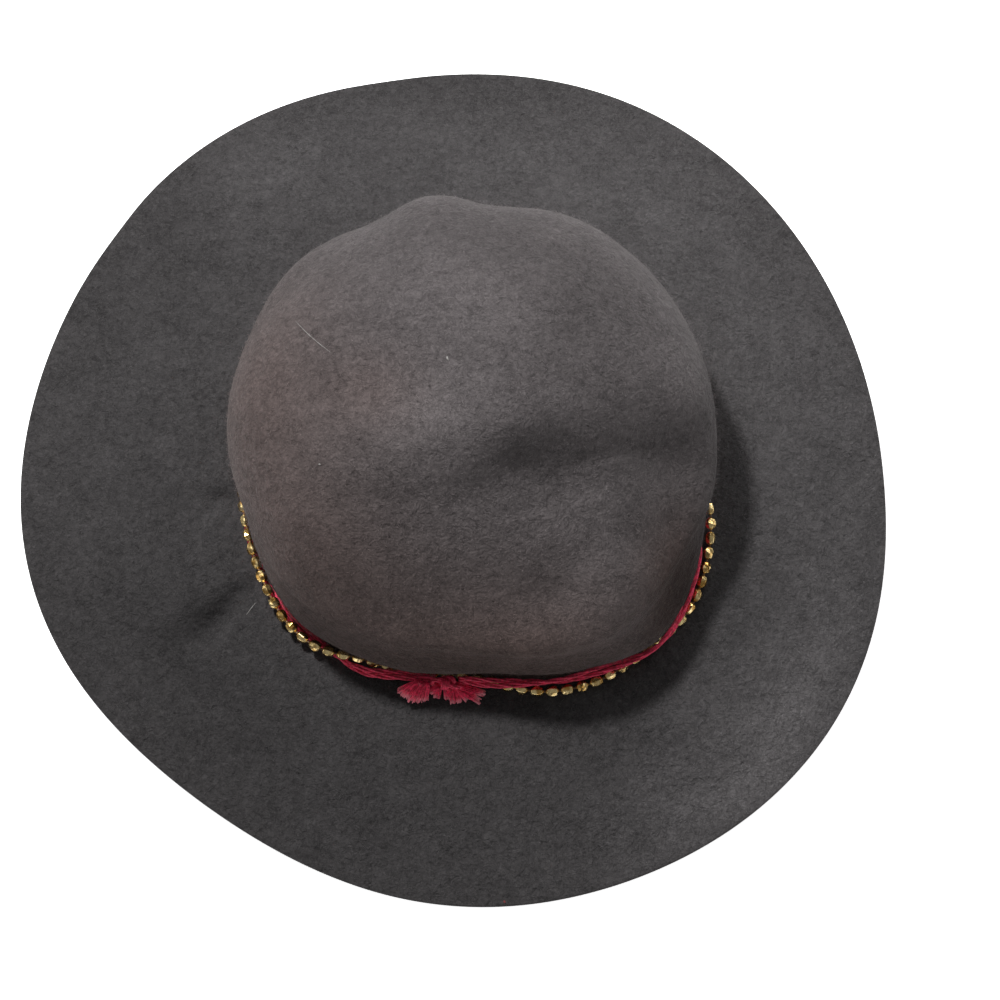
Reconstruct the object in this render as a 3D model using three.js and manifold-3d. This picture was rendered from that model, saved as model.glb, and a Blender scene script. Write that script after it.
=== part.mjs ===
// A floppy wool felt hat, crown up, resting on its brim. A band of two crimson cords and a string of gold
// beads is twisted together round the foot of the crown and knotted at the front.
// Millimetres. +Z is up, +X to the wearer's side, and the knot faces -Y. The origin is on the floor under the
// middle of the brim. Turns are degrees about the crown's axis, from +X towards +Y.
import * as THREE from "three";
import { mergeVertices } from "three/addons/utils/BufferGeometryUtils.js";
import Module from "manifold-3d";

// The felt: one wall, blocked as crown and brim
const FELT = 2.6;
const HEAD_LENGTH = 179; // the opening inside the felt, along X
const HEAD_WIDTH = 170; // and along Y
const FOOT_SQUARENESS = 2.4; // of the crown's plan at its foot: 2 is an ellipse
const TIP_SQUARENESS = 2.05; // and at its tip
const BREAK_HEIGHT = 9; // from the floor to the underside of the brim where it leaves the crown
const BREAK_RADIUS = 8; // of the inside of the bend from crown to brim
const BREAK_LEAN = 25; // the band cinches the foot, so the wall above it leans out by this many degrees
const CROWN_CENTRE = { x: 10.5, y: -2 };
const CROWN_LEAN = { x: -2, y: 2.5 }; // of the tip from the opening's middle
const PLAN_RISES = { foot: 20, tip: 85 }; // rises between which the plan changes from the foot's to the tip's

// Where the opening is stretched out or drawn in
const FOOT_PUSHES = [
  { place: "front right corner", turn: 317, push: 6, wide: 20 },
  { place: "front right", turn: 290, push: 3, wide: 15 },
  { place: "front hollow", turn: 263, push: -2, wide: 14 },
  { place: "front left corner", turn: 225, push: 1.8, wide: 13 },
  { place: "right", turn: 355, push: -2.8, wide: 13 },
];

// The foot of the wall: how high it is above the break, and how far out it is from the narrowest place
const FOOT_RISE = BREAK_RADIUS * (1 + Math.sin((BREAK_LEAN * Math.PI) / 180));
const FOOT_OVERHANG = BREAK_RADIUS * (1 - Math.cos((BREAK_LEAN * Math.PI) / 180));

// From the middle of the tip down to the foot of the wall: share of the foot's radius, rise above the break
const CROWN_PROFILE = [
  { part: "tip centre", share: 0.0, rise: 95 },
  { part: "tip", share: 0.27, rise: 94.5 },
  { part: "tip edge", share: 0.535, rise: 91.5 },
  { part: "upper shoulder", share: 0.705, rise: 84.5 },
  { part: "shoulder", share: 0.89, rise: 72 },
  { part: "lower shoulder", share: 0.995, rise: 55 },
  { part: "bulge", share: 1.01, rise: 38 },
  { part: "low bulge", share: 1.03, rise: 24 },
  { part: "wall above the foot", share: 1.018, rise: 16 },
  { part: "foot", share: 1.0, rise: FOOT_RISE },
];

// Where the crown's wall is pushed out or in, in a soft patch. The push is whole above LOBE_RISE and outside
// the second of LOBE_SHARES, and fades out towards the foot and the middle of the tip.
const LOBE_RISE = 28;
const LOBE_SHARES = { none: 0.2, whole: 0.85 };
const CROWN_LOBES = [
  { place: "back peak", turn: 101, rise: 64, push: 8, wide: 12, tall: 19 },
  { place: "back left", turn: 135, rise: 54, push: 4.5, wide: 19, tall: 12 },
  { place: "back right", turn: 67, rise: 57, push: 4.5, wide: 20, tall: 25 },
  { place: "left", turn: 179, rise: 61, push: 4, wide: 20, tall: 22 },
  { place: "left hollow", turn: 209, rise: 27, push: -1.6, wide: 15, tall: 23 },
  { place: "front", turn: 259, rise: 15, push: 6.5, wide: 15, tall: 12 },
  { place: "front right hollow", turn: 288, rise: 26, push: -4, wide: 15, tall: 20 },
  { place: "front right corner", turn: 314, rise: 16, push: 7, wide: 14, tall: 12 },
  { place: "front right tuck", turn: 326, rise: 35, push: -7.3, wide: 17, tall: 28 },
  { place: "right", turn: 352, rise: 48, push: 5, wide: 17, tall: 24 },
];

// Long soft dents and bumps in the tip, in millimetres from the crown's axis. Each runs along its turn, and
// is as wide as behind says towards the back, and as before says towards the front. They fade out down the
// wall.
const DENT_RISES = { none: 30, whole: 75 };
const TIP_DENTS = [
  { place: "crease, left end", x: -17, y: -40, turn: -1, along: 23, behind: 9, before: 17, drop: 7 },
  { place: "crease, middle", x: 32, y: -27, turn: 15, along: 32, behind: 10, before: 25, drop: 13.5 },
  { place: "crease, right end", x: 77, y: -19, turn: 1, along: 18, behind: 15, before: 48, drop: 14.5 },
  { place: "ridge behind", x: 12, y: -14, turn: 3, along: 26, behind: 50, before: 24, drop: -11.5 },
  { place: "front slump", x: 0, y: -74, turn: 19, along: 95, behind: 30, before: 34, drop: 15 },
  { place: "front right hollow", x: 36, y: -63, turn: 32, along: 26, behind: 10, before: 10, drop: 4 },
];

// The brim's edge: mean reach from the crown's axis, and the waves of its outline
const BRIM_REACH = 182;
const OUTLINE_WAVES = [
  { waves: 1, swing: 7.5, turn: 163 },
  { waves: 2, swing: 2.9, turn: -42 },
  { waves: 3, swing: 3.2, turn: -55 },
  { waves: 5, swing: 1.0, turn: -21 },
  { waves: 6, swing: 0.7, turn: 18 },
];

// The brim droops from the break, waves up and down, and lies flat where it meets the floor
const DROOP = 12;
const DROOP_CURVE = 1.3; // how much of the droop is near the edge: 1 would be straight
const WAVE_CURVE = 1.5; // and of the waves
const REST_EASE = 1.6; // height over which it eases onto the floor
const BRIM_WAVES = [
  { waves: 2, lift: 4.4, turn: 135 },
  { waves: 3, lift: 2.6, turn: 12 },
  { waves: 5, lift: 2.0, turn: 47 },
];
// Local folds, from and to as shares of the brim's width, wide across the fold
const FOLD_CREST = 0.25; // share of a fold's half length over which it is at its whole height
const BRIM_FOLDS = [
  { place: "left crease", turn: 211, from: -0.05, to: 0.5, wide: 7, lift: -2.4 },
  { place: "left crease bank", turn: 200, from: 0.02, to: 0.75, wide: 14, lift: 1.6 },
  { place: "small left crease", turn: 187, from: -0.1, to: 0.35, wide: 6, lift: -1.5 },
  { place: "front right ridge", turn: 312, from: 0.15, to: 0.85, wide: 17, lift: 3 },
  { place: "upper left valley", turn: 148, from: 0.25, to: 1.2, wide: 20, lift: -3 },
  { place: "upper left rise", turn: 128, from: 0.2, to: 0.95, wide: 20, lift: 2.5 },
];

// The band: the beads and the pair of cords turn about a line beside the crown. out is that line's distance
// from the wall, up its height above the brim, and lean the direction from it to the beads, from outwards
// to up.
const BEAD_PITCH = 6.1;
const BEAD_RADIUS = 2.1;
const BEAD_SHOULDER = 0.2; // share of the pitch from a bead's end to its full width
const THREAD_RADIUS = 0.6;
const CORD_RADIUS = 0.8;
const CORD_OFFSET = 1.05; // of each cord from the middle of the pair
const CORD_TWISTS = 7; // of the pair, round the crown
const BAND_SPREAD = 4.5; // from the middle of the beads to the middle of the pair of cords
const BAND_STANCES = [
  { place: "beads outside", lean: -30, out: 4.38, up: 4.55 },
  { place: "beads over", lean: 60, out: 4.7, up: 4.9 },
  { place: "beads inside", lean: 150, out: 4.7, up: 4.5 },
  { place: "beads under", lean: 240, out: 4.9, up: 5.25 },
  { place: "beads outside again", lean: 330, out: 4.38, up: 4.55 },
];
const STANCES_ROUND = BAND_STANCES.length - 1;
// At the back the band keeps this stance, with the beads on top of the cords. From there each crossing moves
// it on by a number of stances, over its span in degrees, and together they take it once round.
const BACK_STANCE = 1.25;
const CROSSINGS = [
  { turn: 216, steps: -0.35, span: 20 },
  { turn: 240, steps: 2.1, span: 24 },
  { turn: 279, steps: 1, span: 20 },
  { turn: 304, steps: -1, span: 20 },
  { turn: 320.5, steps: 1, span: 20 },
  { turn: 344, steps: 1.25, span: 20 },
];
const BAND_SLACK = { turn: 290, slack: 1.2, wide: 15 }; // where the band hangs a little away from the wall

// The knot that joins the cords' ends, in the same measures, and its cut ends. Each end leaves the knot at
// its root turn, from KNOT_MOUTH.
const KNOT = { turn: 262.5, out: 7.6, up: 7.0, halfLength: 6.5, radius: 2.6 };
const KNOT_GAP = 0.3; // from the knot to each cord's end
const KNOT_MOUTH = { out: 8.7, up: 6.0 };
const KNOT_ENDS = [
  { place: "left", root: 260.6, turn: 260.6, out: 13.2, up: 1.6, tipRadius: 0.8 },
  { place: "middle left", root: 262.8, turn: 263.0, out: 13.4, up: 1.6, tipRadius: 0.8 },
  { place: "front", root: 264.2, turn: 265.2, out: 14.4, up: 2.0, tipRadius: 1.6 },
  { place: "right, by the cords", root: 265, turn: 271.6, out: 10.0, up: 2.6, tipRadius: 0.9 },
  { place: "right, in front", root: 264.8, turn: 270.6, out: 13.0, up: 1.6, tipRadius: 0.9 },
];
const CUT_END = { rootRadius: 0.7, sides: 5 };
const WELD = 1e-4; // points nearer than this are one

// The tassel: locks of cut thread that fan out from a small head over the cords, from the first heading to
// the last
const TASSEL = { turn: 256.6, out: 8.2, up: 9.5, headRadius: 1.1 };
const TASSEL_LOCKS = { count: 6, rootRadius: 0.6, tipRadius: 1.1 };
const TASSEL_FAN = [
  { place: "first", heading: 194, reach: 9.6, drop: 4.6 },
  { place: "last", heading: 292, reach: 6.2, drop: 7.4 },
];

// How finely the surfaces are divided
const FELT_GRID = { sectors: 48, crownRows: 9, breakRows: 4, brimRows: 5 };
const CORD_GRID = { steps: 60, sides: 7 };
const BEAD_SIDES = 10;

const COLOURS = {
  felt: { color: 0x4a4646, roughness: 0.95, metalness: 0 },
  cord: { color: 0x9c1638, roughness: 0.75, metalness: 0 },
  gold: { color: 0xc9a24a, roughness: 0.3, metalness: 1 },
};

const { degToRad, radToDeg, lerp, smoothstep, euclideanModulo } = THREE.MathUtils;

const bell = (x) => Math.exp(-x * x);

// The signed difference of two turns, from -180 to 180 degrees
const turnBetween = (a, b) => euclideanModulo(a - b + 180, 360) - 180;

// The felt's form

// The radius of the inside's plan: a softly squared ellipse, pushed out or in at a few places
function planRadius(turn, squareness) {
  const c = Math.abs(Math.cos(degToRad(turn))) / (HEAD_LENGTH / 2);
  const s = Math.abs(Math.sin(degToRad(turn))) / (HEAD_WIDTH / 2);
  return FOOT_PUSHES.reduce(
    (radius, row) => radius + row.push * bell(turnBetween(turn, row.turn) / row.wide),
    (c ** squareness + s ** squareness) ** (-1 / squareness),
  );
}

function edgeRadius(turn) {
  return OUTLINE_WAVES.reduce(
    (reach, row) => reach + row.swing * Math.cos(degToRad(row.waves * (turn - row.turn))),
    BRIM_REACH,
  );
}

const profileCurve = new THREE.SplineCurve(
  CROWN_PROFILE.map((row) => new THREE.Vector2(row.share, row.rise)),
);

function lobePush(turn, rise) {
  const total = CROWN_LOBES.reduce(
    (push, row) =>
      push + row.push * bell(turnBetween(turn, row.turn) / row.wide) * bell((rise - row.rise) / row.tall),
    0,
  );
  return total * smoothstep(rise, FOOT_RISE, LOBE_RISE);
}

function dentDrop(x, y) {
  return TIP_DENTS.reduce((drop, row) => {
    const c = Math.cos(degToRad(row.turn));
    const s = Math.sin(degToRad(row.turn));
    const along = (c * (x - row.x) + s * (y - row.y)) / row.along;
    const across = -s * (x - row.x) + c * (y - row.y);
    const wide = across > 0 ? row.behind : row.before;
    return drop + row.drop * bell(along) * bell(across / wide);
  }, 0);
}

// Zero below -ease, the height itself above ease, and a smooth bend between
function restOnFloor(height, ease) {
  if (height <= -ease) return 0;
  if (height >= ease) return height;
  return (height + ease) ** 2 / (4 * ease);
}

// A share that rises from 0 to 1 and falls again between from and to
function within(share, from, to) {
  const middle = (from + to) / 2;
  const ease = (to - from) / 2;
  return 1 - smoothstep(Math.abs(share - middle) / ease, FOLD_CREST, 1);
}

function brimHeight(share, turn, radius) {
  let height = BREAK_HEIGHT - DROOP * share ** DROOP_CURVE;
  for (const row of BRIM_WAVES) {
    height += row.lift * share ** WAVE_CURVE * Math.cos(degToRad(row.waves * (turn - row.turn)));
  }
  for (const row of BRIM_FOLDS) {
    const across = (degToRad(turnBetween(turn, row.turn)) * radius) / row.wide;
    height += row.lift * bell(across) * within(share, row.from, row.to);
  }
  return restOnFloor(height, REST_EASE);
}

// A point of the inside and underside of the felt. station runs from 0 at the middle of the tip to 1 at the
// foot of the wall, 2 at the end of the break's bend, and 3 at the brim's edge.
function innerPoint(station, turn) {
  const c = Math.cos(degToRad(turn));
  const s = Math.sin(degToRad(turn));
  const opening = planRadius(turn, FOOT_SQUARENESS);
  if (station <= 1) {
    const { x: share, y: rise } = profileCurve.getPoint(Math.max(station, 0));
    const towardsTip = smoothstep(rise, PLAN_RISES.foot, PLAN_RISES.tip);
    const squareness = lerp(FOOT_SQUARENESS, TIP_SQUARENESS, towardsTip);
    const plain = (planRadius(turn, squareness) + FOOT_OVERHANG) * share;
    const radius = plain + lobePush(turn, rise) * smoothstep(share, LOBE_SHARES.none, LOBE_SHARES.whole);
    const drop = dentDrop(radius * c, radius * s) * smoothstep(rise, DENT_RISES.none, DENT_RISES.whole);
    const lean = smoothstep(rise, FOOT_RISE, CROWN_PROFILE[0].rise);
    return new THREE.Vector3(
      CROWN_CENTRE.x + radius * c + CROWN_LEAN.x * lean,
      CROWN_CENTRE.y + radius * s + CROWN_LEAN.y * lean,
      BREAK_HEIGHT + rise - drop,
    );
  }
  const bend = degToRad(lerp(-BREAK_LEAN, 90, Math.min(station, 2) - 1));
  let radius = opening + BREAK_RADIUS * (1 - Math.cos(bend));
  let height = BREAK_HEIGHT + BREAK_RADIUS * (1 - Math.sin(bend));
  if (station > 2) {
    radius = lerp(opening + BREAK_RADIUS, edgeRadius(turn), station - 2);
    height = brimHeight(station - 2, turn, radius);
  }
  return new THREE.Vector3(CROWN_CENTRE.x + radius * c, CROWN_CENTRE.y + radius * s, height);
}

// The outside and top of the felt: one felt thickness along the inside's normal
function outerPoint(station, turn) {
  const STATION_STEP = 0.004;
  const TURN_STEP = 0.5;
  const NEAR_TIP = 0.01; // the normal at the very tip is taken here
  const here = Math.max(station, NEAR_TIP);
  const down = innerPoint(Math.min(here + STATION_STEP, 3), turn).sub(innerPoint(here - STATION_STEP, turn));
  const round = innerPoint(here, turn + TURN_STEP).sub(innerPoint(here, turn - TURN_STEP));
  const normal = down.cross(round).normalize();
  return innerPoint(station, turn).addScaledVector(normal, FELT);
}

// Closed bodies from rings of points

// Rings along a skin, closed by a point at each end. Points go round so that along cross round faces out.
function skinBetween(firstPoint, rings, lastPoint) {
  const positions = [firstPoint, ...rings.flat(), lastPoint].flatMap((p) => p.toArray());
  const count = rings[0].length;
  const last = positions.length / 3 - 1;
  const at = (ring, k) => 1 + ring * count + (k % count);
  const index = [];
  for (let k = 0; k < count; k++) {
    index.push(0, at(0, k), at(0, k + 1));
    for (let ring = 0; ring + 1 < rings.length; ring++) {
      index.push(at(ring, k), at(ring + 1, k), at(ring + 1, k + 1));
      index.push(at(ring, k), at(ring + 1, k + 1), at(ring, k + 1));
    }
    index.push(at(rings.length - 1, k), last, at(rings.length - 1, k + 1));
  }
  return geometryFrom(positions, index);
}

// Rings that follow one another back to the first
function skinRound(rings) {
  const positions = rings.flat().flatMap((p) => p.toArray());
  const count = rings[0].length;
  const at = (ring, k) => (ring % rings.length) * count + (k % count);
  const index = [];
  for (let ring = 0; ring < rings.length; ring++) {
    for (let k = 0; k < count; k++) {
      index.push(at(ring, k), at(ring + 1, k), at(ring + 1, k + 1));
      index.push(at(ring, k), at(ring + 1, k + 1), at(ring, k + 1));
    }
  }
  return geometryFrom(positions, index);
}

function geometryFrom(positions, index) {
  const geometry = new THREE.BufferGeometry();
  geometry.setAttribute("position", new THREE.Float32BufferAttribute(positions, 3));
  geometry.setIndex(index);
  geometry.computeVertexNormals();
  return geometry;
}

// A ring of points round a place on a path, starting on the side that outward points to
function ringAround(centre, along, outward, radius, sides) {
  const first = outward.clone().addScaledVector(along, -outward.dot(along)).normalize();
  const second = new THREE.Vector3().crossVectors(first, along).negate();
  return Array.from({ length: sides }, (_, k) => {
    const angle = (2 * Math.PI * k) / sides;
    return centre
      .clone()
      .addScaledVector(first, radius * Math.cos(angle))
      .addScaledVector(second, -radius * Math.sin(angle));
  });
}

function partMesh(name, geometry, colours) {
  const mesh = new THREE.Mesh(geometry, new THREE.MeshStandardMaterial(colours));
  mesh.name = name;
  return mesh;
}

function makeFelt() {
  const { sectors, crownRows, breakRows, brimRows } = FELT_GRID;
  const stations = [];
  for (let k = 1; k <= crownRows; k++) stations.push(k / crownRows);
  for (let k = 1; k <= breakRows; k++) stations.push(1 + k / breakRows);
  for (let k = 1; k <= brimRows; k++) stations.push(2 + k / brimRows);
  const ring = (surface) => (station) =>
    Array.from({ length: sectors }, (_, k) => surface(station, (360 * k) / sectors));
  const rings = [...stations.map(ring(outerPoint)), ...stations.reverse().map(ring(innerPoint))];
  return partMesh("felt_body", skinBetween(outerPoint(0, 0), rings, innerPoint(0, 0)), COLOURS.felt);
}

// The band

const stanceCurve = new THREE.SplineCurve(BAND_STANCES.map((row) => new THREE.Vector2(row.out, row.up)));

// How far the band has twisted, in stances
function stanceAt(turn) {
  const place = euclideanModulo(turn, 360);
  return CROSSINGS.reduce(
    (stance, row) => stance + row.steps * smoothstep(place, row.turn - row.span / 2, row.turn + row.span / 2),
    BACK_STANCE,
  );
}

// A place beside the crown: out from the felt's outer wall, and up from the top of the brim's root
function besideCrown(turn, out, up) {
  const radius = planRadius(turn, FOOT_SQUARENESS) + FELT + out;
  return new THREE.Vector3(
    CROWN_CENTRE.x + radius * Math.cos(degToRad(turn)),
    CROWN_CENTRE.y + radius * Math.sin(degToRad(turn)),
    BREAK_HEIGHT + FELT + up,
  );
}

const outwardAt = (turn) => new THREE.Vector3(Math.cos(degToRad(turn)), Math.sin(degToRad(turn)), 0);

// A place in the band. reach is measured from the band's middle line towards the beads.
function bandPoint(turn, reach, side, lean) {
  const stance = stanceAt(turn);
  const middle = stanceCurve.getPoint((stance % STANCES_ROUND) / STANCES_ROUND);
  const towardsBeads = degToRad(BAND_STANCES[0].lean + (360 * stance) / STANCES_ROUND);
  const slack = BAND_SLACK.slack * bell(turnBetween(turn, BAND_SLACK.turn) / BAND_SLACK.wide);
  const out = middle.x + slack + reach * Math.cos(towardsBeads) + side * Math.cos(lean);
  const up = middle.y + reach * Math.sin(towardsBeads) + side * Math.sin(lean);
  return besideCrown(turn, out, up);
}

const beadPoint = (turn) => bandPoint(turn, BAND_SPREAD / 2, 0, 0);

// side is 1 for the upper cord and -1 for the lower one
function cordPoint(turn, side) {
  const lean = degToRad(90 + CORD_TWISTS * (turn - KNOT.turn));
  return bandPoint(turn, -BAND_SPREAD / 2, side * CORD_OFFSET, lean);
}

// Turns that split a closed path into equal lengths
function evenTurns(point, count) {
  const FINE = 1440;
  const lengths = [0];
  for (let k = 1; k <= FINE; k++) {
    lengths.push(lengths[k - 1] + point((360 * k) / FINE).distanceTo(point((360 * (k - 1)) / FINE)));
  }
  const turns = [];
  for (let k = 0, fine = 0; k < count; k++) {
    const wanted = (lengths[FINE] * k) / count;
    while (lengths[fine + 1] < wanted) fine++;
    turns.push((360 * (fine + (wanted - lengths[fine]) / (lengths[fine + 1] - lengths[fine]))) / FINE);
  }
  return { turns, length: lengths[FINE] };
}

function ringOnPath(point, turn, radius, sides) {
  const TURN_STEP = 0.25;
  const along = point(turn + TURN_STEP).sub(point(turn - TURN_STEP)).normalize();
  return ringAround(point(turn), along, outwardAt(turn), radius, sides);
}

function makeBeadString() {
  const { length } = evenTurns(beadPoint, 1);
  const beads = Math.round(length / BEAD_PITCH);
  const { turns } = evenTurns(beadPoint, beads);
  const rings = turns.flatMap((start, k) => {
    const end = k + 1 < beads ? turns[k + 1] : 360;
    return [
      ringOnPath(beadPoint, start, THREAD_RADIUS, BEAD_SIDES),
      ringOnPath(beadPoint, lerp(start, end, BEAD_SHOULDER), BEAD_RADIUS, BEAD_SIDES),
      ringOnPath(beadPoint, lerp(start, end, 1 - BEAD_SHOULDER), BEAD_RADIUS, BEAD_SIDES),
    ];
  });
  return partMesh("bead_string", skinRound(rings), COLOURS.gold);
}

function makeCord(name, side) {
  const { steps, sides } = CORD_GRID;
  const point = (turn) => cordPoint(turn, side);
  const knotRadius = planRadius(KNOT.turn, FOOT_SQUARENESS) + FELT + KNOT.out;
  const halfGap = radToDeg((KNOT.halfLength + KNOT_GAP) / knotRadius);
  const rings = Array.from({ length: steps + 1 }, (_, k) =>
    ringOnPath(point, KNOT.turn + lerp(halfGap, 360 - halfGap, k / steps), CORD_RADIUS, sides),
  );
  const ends = [KNOT.turn + halfGap, KNOT.turn + 360 - halfGap].map(point);
  return partMesh(name, skinBetween(ends[0], rings, ends[1]), COLOURS.cord);
}

// A lock of thread that widens from its root to its cut tip
function lockBetween(root, tip, rootRadius, tipRadius, sides) {
  const along = tip.clone().sub(root).normalize();
  const side = new THREE.Vector3(0, 0, 1).cross(along);
  const rings = [
    ringAround(root, along, side, rootRadius, sides),
    ringAround(tip, along, side, tipRadius, sides),
  ];
  return skinBetween(root, rings, tip);
}

function joined(geometries) {
  const solids = geometries.map((geometry) => {
    const bare = new THREE.BufferGeometry();
    bare.setAttribute("position", geometry.getAttribute("position"));
    bare.setIndex(geometry.getIndex());
    const merged = mergeVertices(bare, WELD);
    const vertProperties = new Float32Array(merged.getAttribute("position").array);
    const triVerts = new Uint32Array(merged.getIndex().array);
    return new wasm.Manifold(new wasm.Mesh({ numProp: 3, vertProperties, triVerts }));
  });
  const mesh = solids.reduce((whole, solid) => whole.add(solid)).getMesh();
  return geometryFrom([...mesh.vertProperties], [...mesh.triVerts]);
}

function makeKnot() {
  const lump = new THREE.IcosahedronGeometry(1, 1);
  lump.scale(KNOT.radius, KNOT.halfLength, KNOT.radius);
  lump.rotateZ(degToRad(KNOT.turn));
  lump.translate(...besideCrown(KNOT.turn, KNOT.out, KNOT.up).toArray());
  const ends = KNOT_ENDS.map((row) => {
    const root = besideCrown(row.root, KNOT_MOUTH.out, KNOT_MOUTH.up);
    const tip = besideCrown(row.turn, row.out, row.up);
    return lockBetween(root, tip, CUT_END.rootRadius, row.tipRadius, CUT_END.sides);
  });
  return partMesh("band_knot", joined([lump, ...ends]), COLOURS.cord);
}

function makeTassel() {
  const root = besideCrown(TASSEL.turn, TASSEL.out, TASSEL.up);
  const head = new THREE.IcosahedronGeometry(TASSEL.headRadius, 1);
  head.translate(...root.toArray());
  const { count, rootRadius, tipRadius } = TASSEL_LOCKS;
  const [first, last] = TASSEL_FAN;
  const locks = Array.from({ length: count }, (_, k) => {
    const share = k / (count - 1);
    const direction = outwardAt(lerp(first.heading, last.heading, share));
    const tip = root.clone().addScaledVector(direction, lerp(first.reach, last.reach, share));
    tip.z -= lerp(first.drop, last.drop, share);
    return lockBetween(root, tip, rootRadius, tipRadius, CUT_END.sides);
  });
  return partMesh("tassel", joined([head, ...locks]), COLOURS.cord);
}

const wasm = await Module();
wasm.setup();

const hat = new THREE.Group();
hat.add(
  makeFelt(),
  makeBeadString(),
  makeCord("upper_cord", 1),
  makeCord("lower_cord", -1),
  makeKnot(),
  makeTassel(),
);

// The origin goes on the floor, under the middle of the hat's box
const box = new THREE.Box3().setFromObject(hat, true);
const middle = box.getCenter(new THREE.Vector3());
hat.position.set(-middle.x, -middle.y, -box.min.z);

export default hat;
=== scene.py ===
"""A floppy wool felt hat with a band of crimson cords and gold beads, as it lies in the photograph.

Sizes are in millimetres and turns in degrees about the crown's axis, as in the part's source. Every mesh
is scaled to metres when it is made.
"""

import math

import bpy
import numpy as np
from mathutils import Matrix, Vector, noise


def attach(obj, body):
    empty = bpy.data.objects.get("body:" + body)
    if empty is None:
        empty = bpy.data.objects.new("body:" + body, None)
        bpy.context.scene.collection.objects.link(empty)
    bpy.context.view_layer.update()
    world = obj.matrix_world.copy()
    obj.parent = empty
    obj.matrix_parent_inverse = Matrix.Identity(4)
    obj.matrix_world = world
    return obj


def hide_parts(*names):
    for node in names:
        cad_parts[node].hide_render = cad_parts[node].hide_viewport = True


MM = 0.001
UP = np.array([0.0, 0.0, 1.0])


def table(columns, *rows):
    """Rows of named values, with the columns' names in one line."""
    names = columns.split()
    return [dict(zip(names, row)) for row in rows]


# The felt's form, as the part's source has it
FELT = 2.6
HEAD_LENGTH = 179
HEAD_WIDTH = 170
FOOT_SQUARENESS = 2.4
TIP_SQUARENESS = 2.05
BREAK_HEIGHT = 9
BREAK_RADIUS = 8
BREAK_LEAN = 25
FOOT_RISE = BREAK_RADIUS * (1 + math.sin(math.radians(BREAK_LEAN)))
FOOT_OVERHANG = BREAK_RADIUS * (1 - math.cos(math.radians(BREAK_LEAN)))
CROWN_CENTRE = {"x": 10.5, "y": -2}
CROWN_LEAN = {"x": -2, "y": 2.5}
PLAN_RISES = {"foot": 20, "tip": 85}

FOOT_PUSHES = table(
    "place turn push wide",
    ("front right corner", 317, 6, 20),
    ("front right", 290, 3, 15),
    ("front hollow", 263, -2, 14),
    ("front left corner", 225, 1.8, 13),
    ("right", 355, -2.8, 13),
)
CROWN_PROFILE = table(
    "part share rise",
    ("tip centre", 0.0, 95),
    ("tip", 0.27, 94.5),
    ("tip edge", 0.535, 91.5),
    ("upper shoulder", 0.705, 84.5),
    ("shoulder", 0.89, 72),
    ("lower shoulder", 0.995, 55),
    ("bulge", 1.01, 38),
    ("low bulge", 1.03, 24),
    ("wall above the foot", 1.018, 16),
    ("foot", 1.0, FOOT_RISE),
)
LOBE_RISE = 28
LOBE_SHARES = {"none": 0.2, "whole": 0.85}
CROWN_LOBES = table(
    "place turn rise push wide tall",
    ("back peak", 101, 64, 8, 12, 19),
    ("back left", 135, 54, 4.5, 19, 12),
    ("back right", 67, 57, 4.5, 20, 25),
    ("left", 179, 61, 4, 20, 22),
    ("left hollow", 209, 27, -1.6, 15, 23),
    ("front", 259, 15, 6.5, 15, 12),
    ("front right hollow", 288, 26, -4, 15, 20),
    ("front right corner", 314, 16, 7, 14, 12),
    ("front right tuck", 326, 35, -7.3, 17, 28),
    ("right", 352, 48, 5, 17, 24),
)
DENT_RISES = {"none": 30, "whole": 75}
TIP_DENTS = table(
    "place x y turn along behind before drop",
    ("crease, left end", -17, -40, -1, 23, 9, 17, 7),
    ("crease, middle", 32, -27, 15, 32, 10, 25, 13.5),
    ("crease, right end", 77, -19, 1, 18, 15, 48, 14.5),
    ("ridge behind", 12, -14, 3, 26, 50, 24, -11.5),
    ("front slump", 0, -74, 19, 95, 30, 34, 15),
    ("front right hollow", 36, -63, 32, 26, 10, 10, 4),
)

BRIM_REACH = 182
OUTLINE_WAVES = table(
    "waves swing turn",
    (1, 7.5, 163),
    (2, 2.9, -42),
    (3, 3.2, -55),
    (5, 1.0, -21),
    (6, 0.7, 18),
)
DROOP = 12
DROOP_CURVE = 1.3
WAVE_CURVE = 1.5
REST_EASE = 1.6
BRIM_WAVES = table(
    "waves lift turn",
    (2, 4.4, 135),
    (3, 2.6, 12),
    (5, 2.0, 47),
)
FOLD_CREST = 0.25
BRIM_FOLDS = table(
    "place turn from to wide lift",
    ("left crease", 211, -0.05, 0.5, 7, -2.4),
    ("left crease bank", 200, 0.02, 0.75, 14, 1.6),
    ("small left crease", 187, -0.1, 0.35, 6, -1.5),
    ("front right ridge", 312, 0.15, 0.85, 17, 3),
    ("upper left valley", 148, 0.25, 1.2, 20, -3),
    ("upper left rise", 128, 0.2, 0.95, 20, 2.5),
)

# The band, as the part's source has it
BEAD_PITCH = 6.1
BEAD_RADIUS = 2.1
CORD_OFFSET = 1.05
CORD_TWISTS = 7
BAND_SPREAD = 4.5
BAND_STANCES = table(
    "place lean out up",
    ("beads outside", -30, 4.38, 4.55),
    ("beads over", 60, 4.7, 4.9),
    ("beads inside", 150, 4.7, 4.5),
    ("beads under", 240, 4.9, 5.25),
    ("beads outside again", 330, 4.38, 4.55),
)
STANCES_ROUND = len(BAND_STANCES) - 1
BACK_STANCE = 1.25
CROSSINGS = table(
    "turn steps span",
    (216, -0.35, 20),
    (240, 2.1, 24),
    (279, 1, 20),
    (304, -1, 20),
    (320.5, 1, 20),
    (344, 1.25, 20),
)
BAND_SLACK = {"turn": 290, "slack": 1.2, "wide": 15}

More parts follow.
